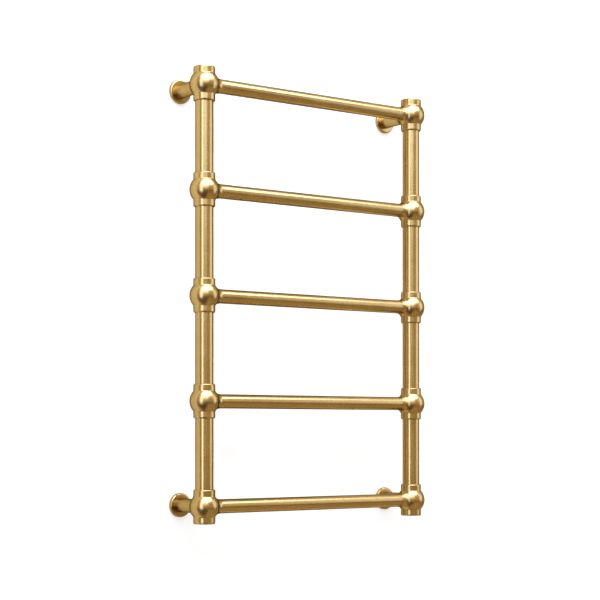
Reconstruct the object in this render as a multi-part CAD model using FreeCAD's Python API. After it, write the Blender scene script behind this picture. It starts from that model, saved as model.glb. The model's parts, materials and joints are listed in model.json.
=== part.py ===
import FreeCAD, Part
import math
import os

# Ladder-style electric towel rail: two posts and five rails joined by ball fittings, held off a
# wall by four brackets, and warmed by a heating cable that winds through the rails.
# Millimetres. The wall is the plane y = 0, the room is at -y, +z is up, and the origin lies on the
# wall in the middle of the four brackets.

# Ladder
rail_count = 5
rail_pitch = 184.0
post_spacing = 470.0
wall_to_post = 82.0

# Tubes
post_diameter = 32.0
post_wall = 1.5
rail_diameter = 25.0
rail_wall = 1.5
stem_diameter = 25.0
stem_wall = 1.5

# Ball fittings
collar_wall = 3.1
collar_reach = 30.0
collar_lip = 2.2
crease_fillet = 2.2
ball_swell = 6.8
neck_wall = 0.4
neck_stand = 5.0
neck_flare = 17.5
neck_lip = 0.2
flare_sink = 0.3
post_socket_depth = 13.0
side_socket_depth = 13.6
solder_gap = 0.1
shoulder_step = 0.8

# End plugs and their seals
plug_seal_thickness = 1.5
plug_seal_gap = 0.3
plug_key_width = 10.0
plug_key_depth = 4.0
plug_edge = 0.6

# Wall brackets
plate_thickness = 2.5
plate_margin = 0.2
spigot_length = 18.0
spigot_gap = 0.1
fixing_hole_diameter = 4.0
fixing_head_diameter = 6.8
fixing_head_depth = 1.6
fixing_gap = 0.2
grub_diameter = 5.0
grub_length = 4.0
grub_hole_gap = 0.1
grub_sink = 0.7
grub_key_width = 2.5
grub_key_depth = 2.0
grub_from_wall = 11.5

# Roses that cover the wall plates
rose_side_wall = 1.4
rose_front_wall = 1.6
rose_depth = 6.3
rose_wall_gap = 0.2
rose_plate_gap = 0.4
rose_edge = 3.0
rose_slide_gap = 0.06
rose_hub_wall = 2.2
rose_hub_gap = 0.3
rose_ring_section = 1.6
rose_ring_slide_gap = 0.05
rose_groove_gap = 0.1

# Heating cable and its fittings
cable_diameter = 6.0
cable_bend = 24.0
guide_length = 6.0
guide_inset = 1.0
guide_gap = 0.3
guide_tube_gap = 0.2
end_seal_diameter = 10.0
end_seal_length = 26.0
end_seal_grip = 12.0
end_seal_inset = 42.5
fit_gap = 0.1

# Splice between the supply lead and the heating cable
splice_inset = 42.5
splice_end_wall = 4.0
splice_wall = 2.2
splice_tube_gap = 0.3
crimp_diameter = 4.4
crimp_length = 14.0
cutout_diameter = 10.0
cutout_length = 22.0

# Supply lead, terminal block and cable entry
lead_diameter = 6.4
lead_bend = 22.0
block_length = 20.0
block_gap = 0.3
terminal_count = 3
terminal_circle = 13.0
terminal_hole_diameter = 3.0
terminal_screw_diameter = 2.4
terminal_screw_sink = 0.4
entry_diameter = 13.0
grommet_bore = 8.0
grommet_length = 6.0
grommet_flange = 1.5
grommet_flange_thickness = 1.2
grommet_sink = 0.1

# Earth connection on the lower right plug
earth_screw_diameter = 4.0
earth_screw_length = 5.0
earth_head_diameter = 7.0
earth_head_height = 2.4
earth_slot_width = 0.8
earth_slot_depth = 1.2
lug_diameter = 9.0
lug_thickness = 0.8
lug_tongue_width = 4.0
lug_barrel_diameter = 3.6
lug_barrel_height = 4.0
lug_barrel_offset = 7.5
earth_wire_diameter = 2.2
earth_wire_bend = 7.0
earth_wire_entry = 5.0

# Sizes that follow from the ones above
vector = FreeCAD.Vector
up = vector(0, 0, 1)
down = vector(0, 0, -1)
to_wall = vector(0, 1, 0)
to_room = vector(0, -1, 0)
inward = {"left": vector(1, 0, 0), "right": vector(-1, 0, 0)}
# The turned seam of a ball faces the room, clear of its necks
seam_turn = -90.0
post_radius = post_diameter / 2
rail_radius = rail_diameter / 2
stem_radius = stem_diameter / 2
rail_bore_radius = rail_radius - rail_wall
stem_bore_radius = stem_radius - stem_wall
post_passage_radius = post_radius - post_wall - shoulder_step
collar_radius = post_radius + solder_gap + collar_wall
ball_radius = collar_radius + ball_swell
neck_reach = ball_radius + neck_stand
post_shoulder = collar_reach - post_socket_depth
side_shoulder = neck_reach - side_socket_depth
cable_radius = cable_diameter / 2
lead_radius = lead_diameter / 2
ladder_height = rail_pitch * (rail_count - 1)
half_spacing = post_spacing / 2
spigot_radius = stem_bore_radius - spigot_gap
fixing_offset = stem_radius + fixing_gap + fixing_head_diameter / 2
plate_radius = fixing_offset + fixing_head_diameter / 2 + plate_margin
rose_cavity_radius = plate_radius + rose_plate_gap
rose_radius = rose_cavity_radius + rose_side_wall
splice_length = 2 * splice_end_wall + 2 * crimp_length + cutout_length
block_face = plate_thickness + spigot_length
plug_length = post_socket_depth - plug_seal_thickness
post_x = {"left": -half_spacing, "right": half_spacing}


def ball_centre(side, level):
    return vector(post_x[side], -wall_to_post, ladder_height / 2 - rail_pitch * level)


def on_circle(centre, radius, degrees):
    angle = math.radians(degrees)
    return (centre[0] + radius * math.cos(angle), centre[1] + radius * math.sin(angle))


def lathe(start, *steps):
    """Turn a closed outline of (radius, height) points about Z. A step of two points is an arc."""
    edges = []
    here = vector(start[0], 0, start[1])
    for step in steps + (start,):
        if isinstance(step[0], tuple):
            middle = vector(step[0][0], 0, step[0][1])
            there = vector(step[1][0], 0, step[1][1])
            edges.append(Part.Arc(here, middle, there).toShape())
        else:
            there = vector(step[0], 0, step[1])
            edges.append(Part.LineSegment(here, there).toShape())
        here = there
    return Part.Face(Part.Wire(edges)).revolve(vector(0, 0, 0), up, 360)


def aimed(shape, origin, direction):
    """Place a shape that was turned about Z so that its Z axis points along direction."""
    placed = shape.copy()
    placed.Placement = FreeCAD.Placement(origin, FreeCAD.Rotation(up, direction))
    return placed


def rod(radius, length, origin, direction):
    return Part.makeCylinder(radius, length, origin, direction)


def tube(radius, wall, length, origin, direction):
    return rod(radius, length, origin, direction).cut(rod(radius - wall, length, origin, direction))


def hex_bar(width, length, origin, direction):
    corner_radius = width / math.sqrt(3)
    corners = [on_circle((0, 0), corner_radius, 60 * index) for index in range(7)]
    outline = Part.makePolygon([vector(x, y, 0) for x, y in corners])
    return aimed(Part.Face(outline).extrude(up * length), origin, direction)


def rounded_route(corners, bend):
    """Straight runs through the corners, joined by tangent arcs of one radius."""
    edges = []
    here = corners[0]
    for before, corner, after in zip(corners, corners[1:], corners[2:]):
        arriving = (corner - before).normalize()
        leaving = (after - corner).normalize()
        half_turn = arriving.getAngle(leaving) / 2
        arc_start = corner - arriving * (bend * math.tan(half_turn))
        arc_end = corner + leaving * (bend * math.tan(half_turn))
        to_centre = (leaving - arriving).normalize()
        centre = corner + to_centre * (bend / math.cos(half_turn))
        edges.append(Part.LineSegment(here, arc_start).toShape())
        edges.append(Part.Arc(arc_start, centre - to_centre * bend, arc_end).toShape())
        here = arc_end
    edges.append(Part.LineSegment(here, corners[-1]).toShape())
    return Part.Wire(edges)


def wire_along(corners, bend, diameter, label):
    route = rounded_route(corners, bend)
    first_run = corners[1] - corners[0]
    section = Part.Wire(Part.makeCircle(diameter / 2, corners[0], first_run))
    solid = route.makePipeShell([section], True, False)
    expected = math.pi * diameter**2 / 4 * route.Length
    share = solid.Volume / expected
    print(f"{label}: length {route.Length:.0f}, bends {bend:.0f}, volume share {share:.4f}")
    return solid


# Ball fittings


def ball_with_collars():
    """Ball between two plain collars, turned in one piece with a small fillet at each crease."""
    fillet_radius = collar_radius + crease_fillet
    fillet_height = math.sqrt((ball_radius + crease_fillet) ** 2 - fillet_radius**2)
    lean = math.degrees(math.atan2(fillet_height, fillet_radius))
    low_fillet = (fillet_radius, -fillet_height)
    high_fillet = (fillet_radius, fillet_height)
    high_lip = (collar_radius - collar_lip, collar_reach - collar_lip)
    low_lip = (high_lip[0], -high_lip[1])
    low_bend = on_circle(low_fillet, crease_fillet, 180 - lean / 2)
    high_bend = on_circle(high_fillet, crease_fillet, 180 + lean / 2)
    return lathe(
        (0, -collar_reach),
        (low_lip[0], -collar_reach),
        (on_circle(low_lip, collar_lip, -45), (collar_radius, low_lip[1])),
        (collar_radius, -fillet_height),
        (low_bend, on_circle(low_fillet, crease_fillet, 180 - lean)),
        ((ball_radius, 0), on_circle((0, 0), ball_radius, lean)),
        (high_bend, (collar_radius, fillet_height)),
        (collar_radius, high_lip[1]),
        (on_circle(high_lip, collar_lip, 45), (high_lip[0], collar_reach)),
        (0, collar_reach),
    )


def neck(tube_radius):
    """Concave neck that runs from the ball down to the end that takes a side tube."""
    radius = tube_radius + solder_gap + neck_wall
    flare_radius = radius + neck_flare
    tangent_height = math.sqrt((ball_radius + neck_flare) ** 2 - flare_radius**2)
    flare_centre = (flare_radius, tangent_height - flare_sink)
    lean = math.degrees(math.atan2(flare_centre[1], flare_centre[0]))
    lip_centre = (radius - neck_lip, neck_reach - neck_lip)
    return lathe(
        (0, 0),
        on_circle(flare_centre, neck_flare, 180 + lean),
        (on_circle(flare_centre, neck_flare, 180 + lean / 2), (radius, flare_centre[1])),
        (radius, lip_centre[1]),
        (on_circle(lip_centre, neck_lip, 45), (lip_centre[0], neck_reach)),
        (0, neck_reach),
    )


def side_bore(tube_radius, tube_wall, centre, direction):
    passage = rod(tube_radius - tube_wall - shoulder_step, neck_reach, centre, direction)
    shoulder = centre + direction * side_shoulder
    socket = rod(tube_radius + solder_gap, side_socket_depth, shoulder, direction)
    return passage.fuse(socket)


def ball_fitting(side, level):
    centre = ball_centre(side, level)
    body = aimed(ball_with_collars(), centre, up)
    body.rotate(centre, up, seam_turn)
    body = body.fuse(aimed(neck(rail_radius), centre, inward[side]))
    bores = [side_bore(rail_radius, rail_wall, centre, inward[side])]
    if level in (0, rail_count - 1):
        body = body.fuse(aimed(neck(stem_radius), centre, to_wall))
        bores.append(side_bore(stem_radius, stem_wall, centre, to_wall))
    bores.append(rod(post_passage_radius, 2 * collar_reach, centre + down * collar_reach, up))
    for direction in (up, down):
        shoulder = centre + direction * post_shoulder
        bores.append(rod(post_radius + solder_gap, post_socket_depth, shoulder, direction))
    return body.cut(bores)


def post_tube(side, level):
    """Post length between the fittings of this rail and of the next rail down."""
    start = ball_centre(side, level + 1) + up * post_shoulder
    return tube(post_radius, post_wall, rail_pitch - 2 * post_shoulder, start, up)


def rail(level):
    start = ball_centre("left", level) + inward["left"] * side_shoulder
    return tube(rail_radius, rail_wall, post_spacing - 2 * side_shoulder, start, inward["left"])


# End plugs


def plug_frame(side, level):
    """Outer end of the open collar at a post's end, and the way into it."""
    outward = up if level == 0 else down
    return ball_centre(side, level) + outward * collar_reach, outward * -1


def end_plug(side, level):
    outer, inwards = plug_frame(side, level)
    body = lathe(
        (0, 0),
        (post_radius - plug_edge, 0),
        (post_radius, plug_edge),
        (post_radius, plug_length),
        (0, plug_length),
    )
    body = aimed(body, outer, inwards)
    return body.cut(hex_bar(plug_key_width, plug_key_depth, outer, inwards))


def plug_seal(side, level):
    outer, inwards = plug_frame(side, level)
    width = post_radius - plug_seal_gap - post_passage_radius
    start = outer + inwards * plug_length
    return tube(post_radius - plug_seal_gap, width, plug_seal_thickness, start, inwards)


# Wall brackets


def wall_point(side, level):
    centre = ball_centre(side, level)
    return vector(centre.x, 0, centre.z)


def stem_wall_end(side, level):
    return wall_point(side, level) + to_room * plate_thickness


def stem(side, level):
    start = stem_wall_end(side, level)
    length = wall_to_post - side_shoulder - plate_thickness
    body = tube(stem_radius, stem_wall, length, start, to_room)
    return body.cut(grub_hole(side, level))


def grub_hole(side, level):
    centre = wall_point(side, level) + to_room * grub_from_wall
    depth = grub_length + grub_sink
    start = centre + down * (stem_radius - depth)
    return rod(grub_diameter / 2 + grub_hole_gap, depth, start, down)


def grub_screw(side, level):
    centre = wall_point(side, level) + to_room * grub_from_wall
    outer = centre + down * (stem_radius - grub_sink)
    body = rod(grub_diameter / 2, grub_length, outer, up)
    return body.cut(hex_bar(grub_key_width, grub_key_depth, outer, up))


def fixing_hole(centre):
    radius = fixing_hole_diameter / 2
    head_radius = fixing_head_diameter / 2
    countersink = lathe(
        (0, 0),
        (radius, 0),
        (radius, plate_thickness - fixing_head_depth),
        (head_radius, plate_thickness),
        (0, plate_thickness),
    )
    return aimed(countersink, centre, to_room)


def wall_plate(side, level, live):
    centre = wall_point(side, level)
    body = rod(plate_radius, plate_thickness, centre, to_room)
    body = body.fuse(rod(spigot_radius, block_face, centre, to_room))
    cuts = [fixing_hole(centre + way * fixing_offset) for way in (up, down)]
    cuts.append(grub_hole(side, level))
    if live:
        flange_radius = entry_diameter / 2 + grommet_flange
        cuts.append(rod(entry_diameter / 2, block_face, centre, to_room))
        cuts.append(rod(flange_radius, grommet_flange_thickness + grommet_sink, centre, to_room))
    return body.cut(cuts)


def rose_back(side, level):
    return wall_point(side, level) + to_room * rose_wall_gap


def ring_height():
    """Middle of the friction ring's groove, measured from the rose's back."""
    hub_back = plate_thickness - rose_wall_gap + rose_hub_gap
    return (hub_back + rose_depth) / 2


def rose(side, level):
    bore_radius = stem_radius + rose_slide_gap
    edge_centre = (rose_radius - rose_edge, rose_depth - rose_edge)
    cavity_front = rose_depth - rose_front_wall
    hub_radius = bore_radius + rose_hub_wall
    hub_back = plate_thickness - rose_wall_gap + rose_hub_gap
    groove_half = rose_ring_section / 2 + rose_groove_gap
    groove_radius = stem_radius + rose_ring_slide_gap + rose_ring_section + rose_groove_gap
    middle = ring_height()
    body = lathe(
        (bore_radius, hub_back),
        (hub_radius, hub_back),
        (hub_radius, cavity_front),
        (rose_cavity_radius, cavity_front),
        (rose_cavity_radius, 0),
        (rose_radius, 0),
        (rose_radius, edge_centre[1]),
        (on_circle(edge_centre, rose_edge, 45), (edge_centre[0], rose_depth)),
        (bore_radius, rose_depth),
        (bore_radius, middle + groove_half),
        (groove_radius, middle + groove_half),
        (groove_radius, middle - groove_half),
        (bore_radius, middle - groove_half),
    )
    return aimed(body, rose_back(side, level), to_room)


def rose_ring(side, level):
    section_radius = rose_ring_section / 2
    centre_radius = stem_radius + rose_ring_slide_gap + section_radius
    middle = rose_back(side, level) + to_room * ring_height()
    return Part.makeTorus(centre_radius, section_radius, middle, to_room)


# Heating cable: it climbs from the lower right fitting, through every rail in turn

bottom = rail_count - 1
other_side = {"left": "right", "right": "left"}


def cable_corners():
    """Start in the bottom rail, then one corner at each fitting that the cable turns in."""
    splice_end = side_shoulder + splice_inset + splice_length - splice_end_wall
    corners = [ball_centre("right", bottom) + inward["right"] * splice_end]
    side = "left"
    for level in range(bottom, 0, -1):
        corners.append(ball_centre(side, level))
        corners.append(ball_centre(side, level - 1))
        side = other_side[side]
    seal_mouth = side_shoulder + end_seal_inset + end_seal_length - end_seal_grip
    corners.append(ball_centre(side, 0) + inward[side] * seal_mouth)
    return corners, side


def heating_cable():
    corners, _ = cable_corners()
    return wire_along(corners, cable_bend, cable_diameter, "heating cable")


def cable_end_seal():
    _, side = cable_corners()
    closed_end = ball_centre(side, 0) + inward[side] * (side_shoulder + end_seal_inset)
    body = rod(end_seal_diameter / 2, end_seal_length, closed_end, inward[side])
    floor = closed_end + inward[side] * (end_seal_length - end_seal_grip)
    return body.cut(rod(cable_radius + fit_gap, end_seal_grip, floor, inward[side]))


def cable_guide(side, level, held_radius):
    """Bush in a rail's end that keeps the cable clear of the tube's edge."""
    start = ball_centre(side, level) + inward[side] * (cable_bend + guide_inset)
    outer_radius = rail_bore_radius - guide_tube_gap
    width = outer_radius - held_radius - guide_gap
    return tube(outer_radius, width, guide_length, start, inward[side])


def cable_guides():
    _, last_side = cable_corners()
    guides = []
    for level in range(rail_count):
        for side in ("left", "right"):
            if (side, level) == ("right", bottom):
                guides.append(cable_guide(side, level, lead_radius))
            elif (side, level) != (last_side, 0):
                guides.append(cable_guide(side, level, cable_radius))
    return Part.makeCompound(guides)


# Splice in the bottom rail, named from the right post towards the left


def splice_point(distance):
    from_post = side_shoulder + splice_inset + distance
    return ball_centre("right", bottom) + inward["right"] * from_post


def splice_sleeve():
    way = inward["right"]
    outer_radius = rail_bore_radius - splice_tube_gap
    body = rod(outer_radius, splice_length, splice_point(0), way)
    cavity = rod(
        outer_radius - splice_wall,
        splice_length - 2 * splice_end_wall,
        splice_point(splice_end_wall),
        way,
    )
    lead_hole = rod(lead_radius + fit_gap, splice_end_wall, splice_point(0), way)
    cable_mouth = splice_point(splice_length - splice_end_wall)
    cable_hole = rod(cable_radius + fit_gap, splice_end_wall, cable_mouth, way)
    return body.cut([cavity, lead_hole, cable_hole])


def crimp_connectors():
    way = inward["right"]
    second = splice_end_wall + crimp_length + cutout_length
    starts = (splice_end_wall, second)
    return Part.makeCompound(
        [rod(crimp_diameter / 2, crimp_length, splice_point(start), way) for start in starts]
    )


def thermal_cutout():
    start = splice_point(splice_end_wall + crimp_length)
    return rod(cutout_diameter / 2, cutout_length, start, inward["right"])


# Supply lead, terminal block and cable entry, in the lower right bracket


def live_point(distance):
    """Point on the lower right stem's axis, at this distance from the wall."""
    return wall_point("right", bottom) + to_room * distance


def supply_lead():
    corners = [
        live_point(block_face + block_length),
        ball_centre("right", bottom),
        splice_point(splice_end_wall),
    ]
    return wire_along(corners, lead_bend, lead_diameter, "supply lead")


def terminal_ways():
    """Directions of the terminals round the stem's axis, the earth terminal lowest."""
    step = 360 / terminal_count
    ways = [on_circle((0, 0), 1, -90 + step * index) for index in range(terminal_count)]
    return [vector(x, 0, z) for x, z in ways]


def terminal_block():
    radius = stem_bore_radius - block_gap
    body = rod(radius, block_length, live_point(block_face), to_room)
    middle = live_point(block_face + block_length / 2)
    cuts = []
    for way in terminal_ways():
        offset = way * (terminal_circle / 2)
        wire_hole_start = live_point(block_face) + offset
        cuts.append(rod(terminal_hole_diameter / 2, block_length, wire_hole_start, to_room))
        screw_depth = radius - terminal_circle / 2
        screw_hole_radius = terminal_screw_diameter / 2 + fit_gap
        cuts.append(rod(screw_hole_radius, screw_depth, middle + offset, way))
    return body.cut(cuts)


def terminal_screws():
    radius = stem_bore_radius - block_gap
    middle = live_point(block_face + block_length / 2)
    inner = terminal_circle / 2
    length = radius - terminal_screw_sink - inner
    return Part.makeCompound(
        [
            rod(terminal_screw_diameter / 2, length, middle + way * inner, way)
            for way in terminal_ways()
        ]
    )


def inlet_grommet():
    start = live_point(grommet_sink)
    radius = entry_diameter / 2 - fit_gap
    flange_radius = entry_diameter / 2 + grommet_flange - fit_gap
    body = rod(radius, grommet_length, start, to_room)
    body = body.fuse(rod(flange_radius, grommet_flange_thickness, start, to_room))
    return body.cut(rod(grommet_bore / 2, grommet_length, start, to_room))


# Earth connection inside the lower right fitting


def plug_inner_face():
    outer, inwards = plug_frame("right", bottom)
    return outer + inwards * plug_length


def live_end_plug():
    depth = earth_screw_length - lug_thickness
    hole = rod(earth_screw_diameter / 2 + fit_gap, depth, plug_inner_face(), down)
    return end_plug("right", bottom).cut(hole)


def earth_lug():
    start = plug_inner_face()
    ring = rod(lug_diameter / 2, lug_thickness, start, up)
    tongue_corner = start - vector(lug_tongue_width / 2, 0, 0)
    tongue = Part.makeBox(lug_tongue_width, lug_barrel_offset, lug_thickness, tongue_corner)
    barrel_start = start + to_wall * lug_barrel_offset
    barrel = rod(lug_barrel_diameter / 2, lug_barrel_height, barrel_start, up)
    hole = rod(earth_screw_diameter / 2 + fit_gap, lug_thickness, start, up)
    return ring.fuse([tongue, barrel]).cut(hole)


def earth_screw():
    seat = plug_inner_face() + up * lug_thickness
    head_radius = earth_head_diameter / 2
    shank = rod(earth_screw_diameter / 2, earth_screw_length, seat, down)
    head = rod(head_radius, earth_head_height, seat, up)
    slot_corner = seat + vector(
        -head_radius,
        -earth_slot_width / 2,
        earth_head_height - earth_slot_depth,
    )
    slot = Part.makeBox(earth_head_diameter, earth_slot_width, earth_slot_depth, slot_corner)
    return shank.fuse(head).cut(slot)


def earth_wire():
    lowest = down * (terminal_circle / 2)
    start = live_point(block_face + block_length - earth_wire_entry) + lowest
    barrel_top = plug_inner_face() + to_wall * lug_barrel_offset + up * lug_barrel_height
    corner = vector(start.x, barrel_top.y, start.z)
    return wire_along([start, corner, barrel_top], earth_wire_bend, earth_wire_diameter, "earth wire")


# Assembly

nodes = {}
seals = []
grubs = []
for level in range(rail_count):
    nodes[f"rail_{level + 1}"] = rail(level)
    for side in ("left", "right"):
        nodes[f"{side}_ball_{level + 1}"] = ball_fitting(side, level)
        if level < bottom:
            nodes[f"{side}_post_tube_{level + 1}"] = post_tube(side, level)
for place, level in (("top", 0), ("bottom", bottom)):
    for side in ("left", "right"):
        live = (side, level) == ("right", bottom)
        corner_name = f"{place}_{side}"
        nodes[f"stem_{corner_name}"] = stem(side, level)
        nodes[f"wall_plate_{corner_name}"] = wall_plate(side, level, live)
        nodes[f"rose_{corner_name}"] = rose(side, level)
        nodes[f"rose_ring_{corner_name}"] = rose_ring(side, level)
        nodes[f"end_plug_{corner_name}"] = live_end_plug() if live else end_plug(side, level)
        seals.append(plug_seal(side, level))
        grubs.append(grub_screw(side, level))
nodes["plug_seals"] = Part.makeCompound(seals)
nodes["grub_screws"] = Part.makeCompound(grubs)
for make_piece in (
    heating_cable,
    cable_end_seal,
    cable_guides,
    splice_sleeve,
    crimp_connectors,
    thermal_cutout,
    supply_lead,
    terminal_block,
    terminal_screws,
    inlet_grommet,
    earth_lug,
    earth_screw,
    earth_wire,
):
    nodes[make_piece.__name__] = make_piece()

os.makedirs("parts", exist_ok=True)
for name, shape in nodes.items():
    shape.exportStep(f"parts/{name}.step")
print(f"{len(nodes)} nodes, all valid: {all(shape.isValid() for shape in nodes.values())}")
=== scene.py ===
# %% [markdown]
# # A heated towel rail in satin brass
#
# A ladder of brass tube hangs on a wall: two posts and five rails meet in ball fittings, and four
# stems with round roses hold it off the wall. Its sizes were settled in a CAD model, so the
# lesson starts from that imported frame. Blender then adds what a render needs: smoother tubes and
# turned covers, brushed metal, a wall, soft light and a camera.

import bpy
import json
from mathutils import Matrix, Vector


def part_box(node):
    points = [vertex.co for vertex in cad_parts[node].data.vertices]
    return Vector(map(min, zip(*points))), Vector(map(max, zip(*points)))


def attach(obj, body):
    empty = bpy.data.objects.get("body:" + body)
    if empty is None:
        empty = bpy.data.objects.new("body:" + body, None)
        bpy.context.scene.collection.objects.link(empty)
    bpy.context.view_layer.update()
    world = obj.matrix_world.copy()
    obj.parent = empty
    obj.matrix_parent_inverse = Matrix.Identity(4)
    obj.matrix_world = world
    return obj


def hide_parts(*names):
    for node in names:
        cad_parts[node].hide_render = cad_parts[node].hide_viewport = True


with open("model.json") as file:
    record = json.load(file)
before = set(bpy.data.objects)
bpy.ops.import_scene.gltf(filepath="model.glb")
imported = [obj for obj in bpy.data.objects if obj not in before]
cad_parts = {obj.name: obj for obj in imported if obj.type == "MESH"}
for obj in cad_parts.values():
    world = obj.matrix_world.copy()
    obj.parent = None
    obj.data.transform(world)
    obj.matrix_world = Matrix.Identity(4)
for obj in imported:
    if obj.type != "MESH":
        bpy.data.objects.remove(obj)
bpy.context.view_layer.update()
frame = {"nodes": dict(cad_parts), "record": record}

# %% [markdown]
# The picture looks up a little at the ladder from its left, and the posts stay upright in it. A
# tilted camera would make them lean together. A level camera with its lens shifted upwards keeps
# them upright, so that is how this one is set.

# %% Camera
import math

import bpy

bpy.ops.object.select_all(action="DESELECT")
bpy.ops.object.camera_add(
    location=(-1.7261, -2.3972, -0.2333),
    rotation=(math.radians(90), 0, math.radians(-36.25)),
)
camera = bpy.context.object
camera.name = "camera"
camera.data.sensor_width = 36
camera.data.lens = 94.76
camera.data.shift_y = 0.2158
bpy.context.scene.camera = camera
bpy.context.scene.view_settings.view_transform = "Standard"
print("camera lens", camera.data.lens, "shift", round(camera.data.shift_y, 4))

# %% [markdown]
# The five rails are drawn brass tube, soldered into the necks of the ball fittings. A curve with
# a round bevel could stand for a tube, but it has no wall. A cylinder whose ends are inset by the
# wall's thickness, with the two inner discs bridged, gives a real tube with a bore. One rail is
# modelled, and the others are copies moved down to their own places.

# %% One drawn tube
import bmesh
from mathutils import Vector

tube_sides = 96
tube_wall = 0.0015
tube_burr = 0.0002
end_facing = 0.9
sharp_edge = math.radians(60)
tube_smoothing = math.radians(15)
axis_turn = {"x": (0, math.pi / 2, 0), "y": (math.pi / 2, 0, 0), "z": (0, 0, 0)}


def select_faces(piece, wanted):
    """In edit mode, select only the faces for which wanted(face) is true."""
    bpy.ops.mesh.select_mode(type="FACE")
    bpy.ops.mesh.select_all(action="DESELECT")
    mesh = bmesh.from_edit_mesh(piece.data)
    for face in mesh.faces:
        if wanted(face):
            face.select_set(True)
    bmesh.update_edit_mesh(piece.data)


def drawn_tube(name, node, axis):
    """A smooth tube where the CAD node is, along x, y or z."""
    along = "xyz".index(axis)
    low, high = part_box(node)
    bpy.ops.object.select_all(action="DESELECT")
    bpy.ops.mesh.primitive_cylinder_add(
        vertices=tube_sides,
        radius=(high[along - 1] - low[along - 1]) / 2,
        depth=high[along] - low[along],
        location=(low + high) / 2,
        rotation=axis_turn[axis],
    )
    tube = bpy.context.object
    tube.name = name
    bpy.ops.object.transform_apply()
    bpy.ops.object.mode_set(mode="EDIT")
    select_faces(tube, lambda face: abs(face.normal[along]) > end_facing)
    bpy.ops.mesh.inset(thickness=tube_wall)
    bpy.ops.mesh.bridge_edge_loops()
    bpy.ops.mesh.select_mode(type="EDGE")
    bpy.ops.mesh.select_all(action="DESELECT")
    bpy.ops.mesh.edges_select_sharp(sharpness=sharp_edge)
    bpy.ops.mesh.bevel(offset=tube_burr, segments=2)
    bpy.ops.object.mode_set(mode="OBJECT")
    bpy.ops.object.shade_smooth_by_angle(angle=tube_smoothing)
    return tube


first_rail = drawn_tube("rail_1_tube", "rail_1", "x")
print(first_rail.name, "faces:", len(first_rail.data.polygons))

# %% Copies for the other rails
def copy_to(piece, name, offset):
    """Another piece of the same shape with its own mesh, moved by offset."""
    bpy.ops.object.select_all(action="DESELECT")
    piece.select_set(True)
    bpy.context.view_layer.objects.active = piece
    bpy.ops.object.duplicate(linked=False)
    twin = bpy.context.object
    twin.name = name
    bpy.ops.transform.translate(value=offset)
    bpy.ops.object.transform_apply()
    return twin


def copies_at(piece, nodes, ending):
    """The piece made for the first node, and a copy of it at each of the others."""
    first_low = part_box(nodes[0])[0]
    made = {nodes[0]: piece}
    for node in nodes[1:]:
        made[node] = copy_to(piece, f"{node}_{ending}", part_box(node)[0] - first_low)
    return made


rail_nodes = [f"rail_{number}" for number in range(1, 6)]
rails = copies_at(first_rail, rail_nodes, "tube")
print("rails:", sorted(piece.name for piece in rails.values()))

# %% Rails on the frame
def dress(made, body):
    """Each piece rides on the body and stands for its node, which is hidden."""
    for node, piece in made.items():
        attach(piece, body)
        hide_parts(node)


dress(rails, "rail_frame")
print("dressed:", sorted(rails))

# %% [markdown]
# Each post is four lengths of thicker tube between the collars of its fittings. They are made in
# the same way as the rails, upright this time.

# %% Post tubes
sides = ("left", "right")
post_nodes = [f"{side}_post_tube_{number}" for side in sides for number in range(1, 5)]
posts = copies_at(drawn_tube("left_post_tube_1_tube", post_nodes[0], "z"), post_nodes, "tube")
dress(posts, "rail_frame")
print("post tubes:", len(posts))

# %% [markdown]
# A bracket's stem is a short tube from the ball to the wall plate. A grub screw from below locks
# it on the plate's spigot, so its wall has one small hole. The hole is cut with a Boolean
# modifier, which is quicker than shaping it by hand and leaves a clean rim.

# %% Bracket stems
corners = ("top_left", "top_right", "bottom_left", "bottom_right")
stem_nodes = [f"stem_{corner}" for corner in corners]
grub_from_wall = 0.0115
grub_hole_radius = 0.0026
grub_hole_sides = 48

stem = drawn_tube("stem_top_left_tube", stem_nodes[0], "y")
stem_low, stem_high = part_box(stem_nodes[0])
bpy.ops.object.select_all(action="DESELECT")
bpy.ops.mesh.primitive_cylinder_add(
    vertices=grub_hole_sides,
    radius=grub_hole_radius,
    depth=4 * tube_wall,
    location=((stem_low.x + stem_high.x) / 2, -grub_from_wall, stem_low.z),
)
drill = bpy.context.object
bpy.context.view_layer.objects.active = stem
bore = stem.modifiers.new("grub hole", "BOOLEAN")
bore.operation = "DIFFERENCE"
bore.object = drill
bpy.ops.object.modifier_apply(modifier=bore.name)
bpy.data.objects.remove(drill)
stems = copies_at(stem, stem_nodes, "tube")
dress(stems, "rail_frame")
print("stems:", len(stems), "faces each:", len(stem.data.polygons))

# %% [markdown]
# A rose is the round cover that hides the wall plate. It is turned on a lathe, so it is made as a
# turner would: from one outline. Half of the cross-section is drawn by extruding a single vertex
# from corner to corner, which keeps every corner where the CAD rose has it. The outline has a
# groove for the rubber ring and a hollow back for the plate.

# %% Outline of a rose
millimetre = 0.001
rose_outline = (
    (12.56, 2.6),
    (14.76, 2.6),
    (14.76, 4.7),
    (20.1, 4.7),
    (20.1, 0.0),
    (21.5, 0.0),
    (21.5, 6.3),
    (12.56, 6.3),
    (12.56, 5.35),
    (14.25, 5.35),
    (14.25, 3.55),
    (12.56, 3.55),
)


def extrude_outline(centre, outline, out, up):
    """In edit mode, turn a new plane into an outline of (radius, height) corners in millimetres."""
    bpy.ops.mesh.select_mode(type="VERT")
    bpy.ops.mesh.select_all(action="SELECT")
    bpy.ops.mesh.merge(type="CENTER")
    here = centre
    for number, (radius, height) in enumerate(outline):
        corner = centre + (out * radius + up * height) * millimetre
        step = corner - here
        if number == 0:
            bpy.ops.transform.translate(value=step)
        else:
            bpy.ops.mesh.extrude_vertices_move(TRANSFORM_OT_translate={"value": step})
        here = corner


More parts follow.
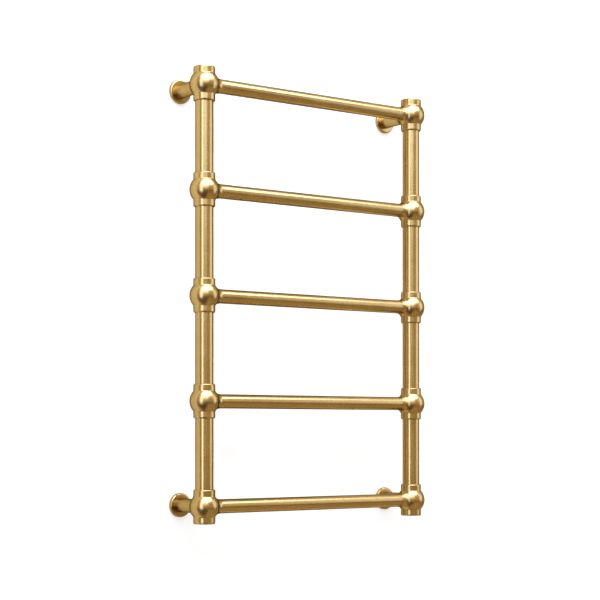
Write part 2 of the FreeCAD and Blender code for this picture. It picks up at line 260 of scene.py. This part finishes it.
def select_corners(piece, wanted):
    """In edit mode, select only the vertices for which wanted(vertex) is true."""
    bpy.ops.mesh.select_mode(type="VERT")
    bpy.ops.mesh.select_all(action="DESELECT")
    mesh = bmesh.from_edit_mesh(piece.data)
    for vertex in mesh.verts:
        if wanted(vertex):
            vertex.select_set(True)
    bmesh.update_edit_mesh(piece.data)


rose_radius = max(radius for radius, height in rose_outline)
print("rose outline:", len(rose_outline), "corners, radius", rose_radius, "mm")

# %% [markdown]
# The two ends of the outline are joined, its front corner is rounded and the sharp edges beside
# it are broken. Spinning it once round the stem's axis gives the solid cover. A rose slides on
# its stem, so each of the four rides on a body of its own.

# %% One turned rose
rose_rounding = {6: 3.0, 5: 0.25, 7: 0.25}
rounding_steps = 10
turning_steps = 128
turning_smoothing = math.radians(30)
same_place = 0.01 * millimetre
seam_gap = 0.001 * millimetre


def turned_rose(name, node):
    """The outline spun round the middle of the CAD rose, with its back towards the wall."""
    low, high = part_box(node)
    centre = Vector(((low.x + high.x) / 2, high.y, (low.z + high.z) / 2))
    out = Vector((1, 0, 0))
    up = Vector((0, -1, 0))
    bpy.ops.object.select_all(action="DESELECT")
    bpy.ops.mesh.primitive_plane_add(size=millimetre, location=centre)
    rose = bpy.context.object
    rose.name = name
    bpy.ops.object.transform_apply()
    bpy.ops.object.mode_set(mode="EDIT")
    extrude_outline(centre, rose_outline, out, up)
    select_corners(rose, lambda vertex: len(vertex.link_edges) == 1)
    bpy.ops.mesh.edge_face_add()
    for number, size in rose_rounding.items():
        radius, height = rose_outline[number]
        corner = centre + (out * radius + up * height) * millimetre
        select_corners(rose, lambda vertex: (vertex.co - corner).length < same_place)
        bpy.ops.mesh.bevel(offset=size * millimetre, segments=rounding_steps, affect="VERTICES")
    bpy.ops.mesh.select_all(action="SELECT")
    bpy.ops.mesh.spin(steps=turning_steps, angle=2 * math.pi, center=centre, axis=up)
    bpy.ops.mesh.select_all(action="SELECT")
    bpy.ops.mesh.remove_doubles(threshold=seam_gap)
    bpy.ops.mesh.normals_make_consistent(inside=False)
    bpy.ops.object.mode_set(mode="OBJECT")
    bpy.ops.object.shade_smooth_by_angle(angle=turning_smoothing)
    return rose


rose_nodes = [f"rose_{corner}" for corner in corners]
first_rose = turned_rose("rose_top_left_cover", rose_nodes[0])
print(first_rose.name, "faces:", len(first_rose.data.polygons))

# %% Four roses
roses = copies_at(first_rose, rose_nodes, "cover")
for corner, node in zip(corners, rose_nodes):
    dress({node: roses[node]}, f"{corner}_rose")
    print(roses[node].name, "rides on", f"{corner}_rose")

# %% [markdown]
# A material is a graph of nodes, and each node takes several lines to set up by hand. A few
# helpers keep the next cells short. One adds a node and fills its inputs, and one starts a
# material. Others make a noise, a blend of two colours or a bump. One more stretches a noise over
# the wanted range, because a noise seldom leaves its middle values.

# %% Node helpers
def node_maker(tree):
    """A function that adds a node to the tree, sets it up and fills or links its inputs."""

    def make(kind, settings=None, inputs=None):
        node = tree.nodes.new(kind)
        for key, value in (settings or {}).items():
            setattr(node, key, value)
        for key, value in (inputs or {}).items():
            if isinstance(value, bpy.types.NodeSocket):
                tree.links.new(value, node.inputs[key])
            else:
                node.inputs[key].default_value = value
        return node

    return make


def new_material(name):
    """A material with its tree, its Principled shader and a node maker."""
    material = bpy.data.materials.new(name)
    material.use_nodes = True
    tree = material.node_tree
    return material, tree, tree.nodes["Principled BSDF"], node_maker(tree)


print("helpers:", node_maker.__name__, new_material.__name__)

# %% Pattern helpers
noise_middle = {"From Min": 0.3, "From Max": 0.7}


def spread(make, value, low, high):
    """Stretch the middle of a noise to run from low to high."""
    inputs = {"Value": value, **noise_middle, "To Min": low, "To Max": high}
    return make("ShaderNodeMapRange", inputs=inputs).outputs["Result"]


def noise(make, place, scale, detail, roughness=0.5):
    """A noise read at a place."""
    inputs = {"Vector": place, "Scale": scale, "Detail": detail, "Roughness": roughness}
    return make("ShaderNodeTexNoise", inputs=inputs).outputs["Fac"]


def blend(make, factor, first, second, kind="MIX"):
    """Two colours mixed by a factor. A Mix node has its colours in sockets 6 and 7."""
    settings = {"data_type": "RGBA", "blend_type": kind}
    return make("ShaderNodeMix", settings, {0: factor, 6: first, 7: second}).outputs[2]


def dented(make, height, strength, depth):
    """Bump from a height."""
    inputs = {"Strength": strength, "Distance": depth, "Height": height}
    return make("ShaderNodeBump", inputs=inputs).outputs["Normal"]


def paint(piece, material):
    """The piece has this one material all over."""
    piece.data.materials.clear()
    piece.data.materials.append(material)


print("helpers:", spread.__name__, noise.__name__, blend.__name__, dented.__name__, paint.__name__)

# %% [markdown]
# The whole ladder has one finish: brass that was ground satin and then lacquered. Colour alone
# makes it look like paint, so the material has layers of detail. Slow clouds vary the tone and
# the gloss, and fine grinding lines run round each piece as bump. Such lines smear a highlight
# across themselves, which is what the anisotropic setting is for. A thin clear coat stands for
# the lacquer. The tint at the rim is set near black, so that the edges of each piece come out
# darker: that is painted shade.

# %% Satin brass
brass_deep = (0.575, 0.402, 0.174, 1)
brass_light = (0.625, 0.442, 0.199, 1)
painted_dark_rim = (0.05, 0.05, 0.05, 1)
lacquer = 0.12
lacquer_roughness = 0.20
cloud_scale = 28
cloud_gloss = 0.02
line_tone = (0.94, 1.05)
line_bump = 0.012
line_depth = 0.0002
fine_lines = 1400
slow_lines = 40
quarter_turn = 0.25


def satin_brass(name, gloss, smear, axis, lines):
    """Brass ground round an axis, then lacquered. lines gives the place to read its lines at."""
    material, tree, shader, make = new_material(name)
    place = make("ShaderNodeTexCoord").outputs["Object"]
    clouds = noise(make, place, cloud_scale, detail=3.0, roughness=0.55)
    ground = noise(make, lines(make, place), 1.0, detail=2.0)
    tone = blend(make, spread(make, clouds, 0.0, 1.0), brass_deep, brass_light)
    lined = blend(make, 1.0, tone, spread(make, ground, *line_tone), "MULTIPLY")
    bump = dented(make, ground, line_bump, line_depth)
    tree.links.new(lined, shader.inputs["Base Color"])
    uneven = spread(make, clouds, gloss - cloud_gloss, gloss + cloud_gloss)
    tree.links.new(uneven, shader.inputs["Roughness"])
    tree.links.new(bump, shader.inputs["Normal"])
    shader.inputs["Metallic"].default_value = 1.0
    # A near-black rim tint: painted shade that darkens the edges of each piece.
    shader.inputs["Specular Tint"].default_value = painted_dark_rim
    shader.inputs["Coat Weight"].default_value = lacquer
    shader.inputs["Coat Roughness"].default_value = lacquer_roughness
    round_axis = make("ShaderNodeTangent", {"direction_type": "RADIAL", "axis": axis.upper()})
    tree.links.new(round_axis.outputs["Tangent"], shader.inputs["Tangent"])
    shader.inputs["Anisotropic"].default_value = smear
    shader.inputs["Anisotropic Rotation"].default_value = quarter_turn
    return material


def lines_round(axis):
    """Lines that run round an axis: the noise is fine along it and slow across it."""
    scale = [slow_lines] * 3
    scale["xyz".index(axis)] = fine_lines

    def lines(make, place):
        return make("ShaderNodeMapping", inputs={"Vector": place, "Scale": scale}).outputs["Vector"]

    return lines


print("brass from", brass_deep[:3], "to", brass_light[:3])

# %% Brass on the tubes
tube_gloss = 0.26
tube_smear = 0.65
rail_brass = satin_brass("satin brass rail", tube_gloss, tube_smear, "x", lines_round("x"))
post_brass = satin_brass("satin brass post", tube_gloss, tube_smear, "z", lines_round("z"))
stem_brass = satin_brass("satin brass stem", tube_gloss, tube_smear, "y", lines_round("y"))
for tubes, material in ((rails, rail_brass), (posts, post_brass), (stems, stem_brass)):
    for tube in tubes.values():
        paint(tube, material)
    print(material.name, "on", len(tubes), "pieces")

# %% [markdown]
# The fittings are turned castings. Their lines are rings round the post, and smear a highlight
# less than those of the drawn tubes. On a rose the rings lie round the stem, and its face is
# glossier, so that the stem is mirrored in it. All four roses share one material, because the
# distance from the stem is worked out from the mirrored place: the ladder is the same on both
# sides and at both ends.

# %% Rings round a stem
post_low, post_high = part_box("right_post_tube_1")
rail_low, rail_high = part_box("rail_1")
stem_x = (post_low.x + post_high.x) / 2
stem_z = (rail_low.z + rail_high.z) / 2


def calculate(make, operation, *values):
    """The result of a Math node on numbers or sockets."""
    return make("ShaderNodeMath", {"operation": operation}, dict(enumerate(values))).outputs[0]


def rings_round_stem(make, place):
    """Place whose first axis is the distance from the nearest stem."""
    axes = make("ShaderNodeSeparateXYZ", inputs={0: place})
    offsets = []
    for axis, centre in (("X", stem_x), ("Z", stem_z)):
        mirrored = calculate(make, "ABSOLUTE", axes.outputs[axis])
        offsets.append(calculate(make, "SUBTRACT", mirrored, centre))
    flat = make("ShaderNodeCombineXYZ", inputs={"X": offsets[0], "Y": offsets[1]})
    away = make("ShaderNodeVectorMath", {"operation": "LENGTH"}, {0: flat.outputs[0]})
    ring_place = {"X": away.outputs["Value"], "Y": axes.outputs["Y"]}
    rings = make("ShaderNodeCombineXYZ", inputs=ring_place)
    scaled = {"Vector": rings.outputs[0], "Scale": [fine_lines] * 3}
    return make("ShaderNodeMapping", inputs=scaled).outputs["Vector"]


print("stem axis at", round(stem_x, 4), round(stem_z, 4))

# %% Brass on fittings and roses
fitting_gloss = 0.27
rose_gloss = 0.22
fitting_smear = 0.35
rose_brass = satin_brass("satin brass rose", rose_gloss, fitting_smear, "y", rings_round_stem)
rings_round_post = lines_round("z")
fitting_brass = satin_brass(
    "satin brass fitting", fitting_gloss, fitting_smear, "z", rings_round_post
)
fitting_nodes = [f"{side}_ball_{number}" for side in sides for number in range(1, 6)]
fitting_nodes += [f"end_plug_{corner}" for corner in corners]
for rose in roses.values():
    paint(rose, rose_brass)
for node in fitting_nodes:
    paint(frame["nodes"][node], fitting_brass)
print(rose_brass.name, "on", len(roses), "pieces")
print(fitting_brass.name, "on", len(fitting_nodes), "pieces")

# %% [markdown]
# The rest is out of sight until a rose slides away or the ladder is cut open: plain wall plates,
# rubber rings, screws, and the heating cable with its fittings. Each still gets its own small
# material, with mottled colour, uneven gloss and a fine surface, so that nothing looks like a
# flat swatch.

# %% A mottled finish
dent_depth = 0.0002
patch_gloss = 0.06


def mottled(name, dark, light, gloss, metal, spots, dents):
    """A material mottled between two colours, with uneven gloss and a finely dented surface."""
    material, tree, shader, make = new_material(name)
    place = make("ShaderNodeTexCoord").outputs["Object"]
    patches = noise(make, place, spots, detail=4.0, roughness=0.6)
    colour = blend(make, spread(make, patches, 0.0, 1.0), (*dark, 1), (*light, 1))
    bump = dented(make, patches, dents, dent_depth)
    tree.links.new(colour, shader.inputs["Base Color"])
    uneven = spread(make, patches, gloss - patch_gloss, gloss + patch_gloss)
    tree.links.new(uneven, shader.inputs["Roughness"])
    tree.links.new(bump, shader.inputs["Normal"])
    shader.inputs["Metallic"].default_value = metal
    return material


print("gloss varies by", patch_gloss, "each way, dents are", dent_depth, "m deep")

# %% Hidden finishes
hidden_finishes = {
    # name, dark colour, light colour, gloss, metal, spots, dents
    "plain_brass": mottled(
        "plain turned brass", (0.36, 0.23, 0.085), (0.48, 0.32, 0.13), 0.36, 1.0, 160, 0.10
    ),
    "black_rubber": mottled(
        "moulded black rubber", (0.012, 0.012, 0.012), (0.030, 0.029, 0.028), 0.68, 0.0, 900, 0.25
    ),
    "steel_fastener": mottled(
        "zinc-plated steel", (0.42, 0.43, 0.45), (0.60, 0.60, 0.60), 0.30, 1.0, 700, 0.10
    ),
    "cable_silicone": mottled(
        "red-brown silicone", (0.16, 0.022, 0.012), (0.22, 0.034, 0.018), 0.55, 0.0, 350, 0.15
    ),
    "white_silicone": mottled(
        "white silicone", (0.62, 0.61, 0.57), (0.72, 0.71, 0.67), 0.60, 0.0, 350, 0.15
    ),
    "tinned_copper": mottled(
        "tinned copper", (0.50, 0.46, 0.40), (0.66, 0.62, 0.56), 0.34, 1.0, 500, 0.12
    ),
    "thermal_cutout_case": mottled(
        "dark enamelled case", (0.018, 0.018, 0.020), (0.034, 0.034, 0.037), 0.40, 0.0, 600, 0.20
    ),
    "lead_silicone": mottled(
        "off-white silicone lead", (0.56, 0.55, 0.50), (0.66, 0.65, 0.60), 0.58, 0.0, 350, 0.15
    ),
    "terminal_plastic": mottled(
        "off-white moulded plastic", (0.64, 0.62, 0.55), (0.73, 0.71, 0.64), 0.45, 0.0, 420, 0.10
    ),
}
slot_of = {part["node"]: part["material_slot"] for part in frame["record"]["subparts"]}
for node, slot in slot_of.items():
    if slot in hidden_finishes:
        paint(frame["nodes"][node], hidden_finishes[slot])
print("hidden finishes:", len(hidden_finishes))

# %% [markdown]
# The earth wire is green with a yellow stripe along one side, moulded in one piece. The wire lies
# nearly straight, so the stripe can be read from how far a point is to the right of its middle.

# %% Striped earth wire
earth_green = (0.035, 0.19, 0.022, 1)
earth_yellow = (0.62, 0.50, 0.03, 1)
stripe_edge = 0.0001
wire_grain = 500.0
wire_dents = 0.12
wire_gloss = (0.42, 0.56)


def striped_insulation(name, middle):
    """Insulation that is green on the left of its middle and yellow on the right."""
    material, tree, shader, make = new_material(name)
    place = make("ShaderNodeTexCoord").outputs["Object"]
    axes = make("ShaderNodeSeparateXYZ", inputs={0: place})
    grain = noise(make, place, wire_grain, detail=3.0)
    edge = {"From Min": middle - stripe_edge, "From Max": middle + stripe_edge}
    stripe = make("ShaderNodeMapRange", inputs={"Value": axes.outputs["X"], **edge})
    colour = blend(make, stripe.outputs["Result"], earth_green, earth_yellow)
    bump = dented(make, grain, wire_dents, dent_depth)
    tree.links.new(colour, shader.inputs["Base Color"])
    tree.links.new(spread(make, grain, *wire_gloss), shader.inputs["Roughness"])
    tree.links.new(bump, shader.inputs["Normal"])
    return material


wire_low, wire_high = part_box("earth_wire")
wire_middle = (wire_low.x + wire_high.x) / 2
paint(frame["nodes"]["earth_wire"], striped_insulation("striped insulation", wire_middle))
print("earth wire stripe from x =", round(wire_middle, 4))

# %% [markdown]
# The wall is a plain white sheet just behind the roses. Its matt colour takes their soft shadow,
# and a glow that only the camera and reflections see lifts it to white. Brass mirrors whatever is
# round it, and a studio is seldom as bright as its backdrop, so the sheet has a duller, warmer
# colour in reflections. A pale floor lies well below, made in the same way with a fainter glow.
# Both sheets are clear from behind, so that the back of the brackets and the undersides can be
# looked at too.

# %% A backdrop sheet
sheet_size = 12


def backdrop(name, location, rotation, colour, mirrored, glow):
    """A plain sheet of the stage, with one colour for the eye and one in reflections."""
    bpy.ops.object.select_all(action="DESELECT")
    bpy.ops.mesh.primitive_plane_add(size=sheet_size, location=location, rotation=rotation)
    sheet = bpy.context.object
    sheet.name = name
    material, tree, shader, make = new_material(name)
    tree.nodes.remove(shader)
    ray = make("ShaderNodeLightPath")
    shade = blend(make, ray.outputs["Is Glossy Ray"], (*colour, 1), (*mirrored, 1))
    seen = ray.outputs["Is Camera Ray"]
    for kind in ("Is Glossy Ray", "Is Transmission Ray"):
        seen = calculate(make, "MAXIMUM", seen, ray.outputs[kind])
    strength = calculate(make, "MULTIPLY", seen, glow)
    matt = make("ShaderNodeBsdfDiffuse", inputs={"Color": shade}).outputs[0]
    lit = make("ShaderNodeEmission", inputs={"Color": shade, "Strength": strength}).outputs[0]
    front = make("ShaderNodeAddShader", inputs={0: matt, 1: lit}).outputs[0]
    behind = make("ShaderNodeNewGeometry").outputs["Backfacing"]
    clear = make("ShaderNodeBsdfTransparent").outputs[0]
    surface = make("ShaderNodeMixShader", inputs={0: behind, 1: front, 2: clear}).outputs[0]
    tree.links.new(surface, tree.nodes["Material Output"].inputs["Surface"])
    paint(sheet, material)
    return sheet


print("sheets are", sheet_size, "m wide")

# %% Wall and floor
upright = (math.pi / 2, 0, 0)
wall_gap = 0.0005
wall_white = (0.57, 0.56, 0.55)
wall_mirrored = (0.45, 0.409, 0.303)
wall_glow = 1.0
wall = backdrop("wall", (0, wall_gap, 0), upright, wall_white, wall_mirrored, wall_glow)
floor_height = -1.5
floor_pale = (0.64, 0.61, 0.56)
floor_mirrored = (0.29, 0.21, 0.10)
floor_glow = 0.5
level = (0, 0, 0)
floor = backdrop("floor", (0, 0, floor_height), level, floor_pale, floor_mirrored, floor_glow)
print("stage:", wall.name, floor.name)

# %% [markdown]
# Metal shows the room more than its own colour, so the lamps are placed for what each piece
# mirrors. A wide soft box overhead, well in front, makes the bright line along the rails and the
# tops of the balls. A fainter one further down, a little to the left, fills the balls and the
# upper posts. A tall narrow one at the left gives each post its bright stripe, and one at the
# right a second, softer stripe. Three of them are oval, because the corners of a box would show
# in the highlights of the balls. Their light is cool, so that the highlights on the yellow metal
# stay nearly white.

# %% A soft box
lamp_colour = (0.88, 1.05, 1.42)


def facing(azimuth, elevation, distance):
    """Place and turn of a lamp that faces the ladder, from degrees right of straight out."""
    turn = math.radians(azimuth)
    rise = math.radians(elevation)
    level_part = math.cos(rise)
    way = Vector((math.sin(turn) * level_part, -math.cos(turn) * level_part, math.sin(rise)))
    return way * distance, way.to_track_quat("Z", "Y").to_euler()


def soft_box(name, shape, azimuth, elevation, distance, width, height, brightness):
    """An area lamp of cool light that faces the ladder, equally bright all over."""
    place, turn = facing(azimuth, elevation, distance)
    bpy.ops.object.select_all(action="DESELECT")
    bpy.ops.object.light_add(type="AREA", location=place, rotation=turn)
    lamp = bpy.context.object
    lamp.name = name
    lamp.data.shape = shape
    lamp.data.size = width
    lamp.data.size_y = height
    area = width * height * (math.pi / 4 if shape == "ELLIPSE" else 1)
    lamp.data.energy = brightness * math.pi * area
    lamp.data.color = lamp_colour
    lamp.visible_camera = False


print("lamp colour", lamp_colour)

# %% Four soft boxes
soft_boxes = (
    # name, shape, azimuth, elevation, distance, width, height, brightness
    ("overhead soft box", "ELLIPSE", -5, 57, 2.6, 4.6, 2.1, 3.8),
    ("front soft box", "ELLIPSE", -24, 30, 3.2, 2.7, 2.2, 1.35),
    ("left soft box", "RECTANGLE", -57, 9, 2.8, 0.95, 2.9, 2.0),
    ("right soft box", "ELLIPSE", 57, 10, 2.8, 1.8, 2.6, 1.04),
)
for box in soft_boxes:
    soft_box(*box)

# %% [markdown]
# With nothing dark to mirror, the undersides of the balls and rails would look flat.
# Photographers lay black or brown card for that. Here a large brown sheet lies low in front of
# the ladder, out of the camera's sight.

# %% Dark card
card_size = 4.0
card_place = (-2.4, -2.4, -1.42)
card_brown = ((0.060, 0.022, 0.005), (0.080, 0.030, 0.007))
card_gloss = 0.9
card_spots = 20
bpy.ops.object.select_all(action="DESELECT")
bpy.ops.mesh.primitive_plane_add(size=card_size, location=card_place)
card = bpy.context.object
card.name = "dark_card"
card.visible_camera = False
paint(card, mottled("dark card", *card_brown, card_gloss, 0.0, card_spots, 0.0))
print("dark card at", card_place)

# %% [markdown]
# A tan sheet on the wall between the posts is painted shade: it stands for the shaded wall
# behind the ladder, and only reflections see it. It darkens the inner side of the right post and
# the edges of the rails, while the camera still sees the white wall. It is narrower than the
# space between the posts, so that the stems don't mirror it.

# %% Wall shade card
wall_shade_card_width = 0.34
wall_shade_card_height = 1.2
wall_shade_card_place = (0, wall_gap / 2, 0.02)
# The tan is painted shade: the wall behind the ladder in shadow, as the brass mirrors it.
wall_shade_tan = ((0.40, 0.28, 0.11), (0.44, 0.31, 0.13))
bpy.ops.object.select_all(action="DESELECT")
bpy.ops.mesh.primitive_plane_add(size=1.0, location=wall_shade_card_place, rotation=upright)
bpy.ops.transform.resize(value=(wall_shade_card_width, 1.0, wall_shade_card_height))
wall_shade_card = bpy.context.object
wall_shade_card.name = "wall_shade_card"
for sight in ("visible_camera", "visible_diffuse", "visible_shadow"):
    setattr(wall_shade_card, sight, False)
paint(wall_shade_card, mottled("wall shade card", *wall_shade_tan, card_gloss, 0.0, card_spots, 0.0))
print("wall shade card", [round(side, 3) for side in wall_shade_card.dimensions])

# %% [markdown]
# The rest of the room is a world of one warm tone. It is dimmer below the horizon, where a room
# has its furniture and its shade, and so the lower half of each rail comes out darker. The camera
# sees plain white instead wherever no sheet is in the way.

# %% Room
world = bpy.data.worlds.new("warm studio")
bpy.context.scene.world = world
world.use_nodes = True
room_warm = (1.0, 0.79, 0.37, 1)
room_rise = {"From Min": -0.15, "From Max": 0.02, "To Min": 0.12, "To Max": 0.57}
room_tree = world.node_tree
make = node_maker(room_tree)
heading = make("ShaderNodeTexCoord").outputs["Generated"]
rise = make("ShaderNodeSeparateXYZ", inputs={0: heading}).outputs["Z"]
strength = make("ShaderNodeMapRange", inputs={"Value": rise, **room_rise}).outputs["Result"]
plain = make("ShaderNodeBackground", inputs={"Color": (1, 1, 1, 1), "Strength": 1.0})
warm = make("ShaderNodeBackground", inputs={"Color": room_warm, "Strength": strength})
seen = make("ShaderNodeLightPath").outputs["Is Camera Ray"]
room = make("ShaderNodeMixShader", inputs={0: seen, 1: warm.outputs[0], 2: plain.outputs[0]})
room_tree.links.new(room.outputs[0], room_tree.nodes["World Output"].inputs["Surface"])
room_tree.nodes.remove(room_tree.nodes["Background"])
print("room:", world.name)

# %% [markdown]

# %% Last cell
import json
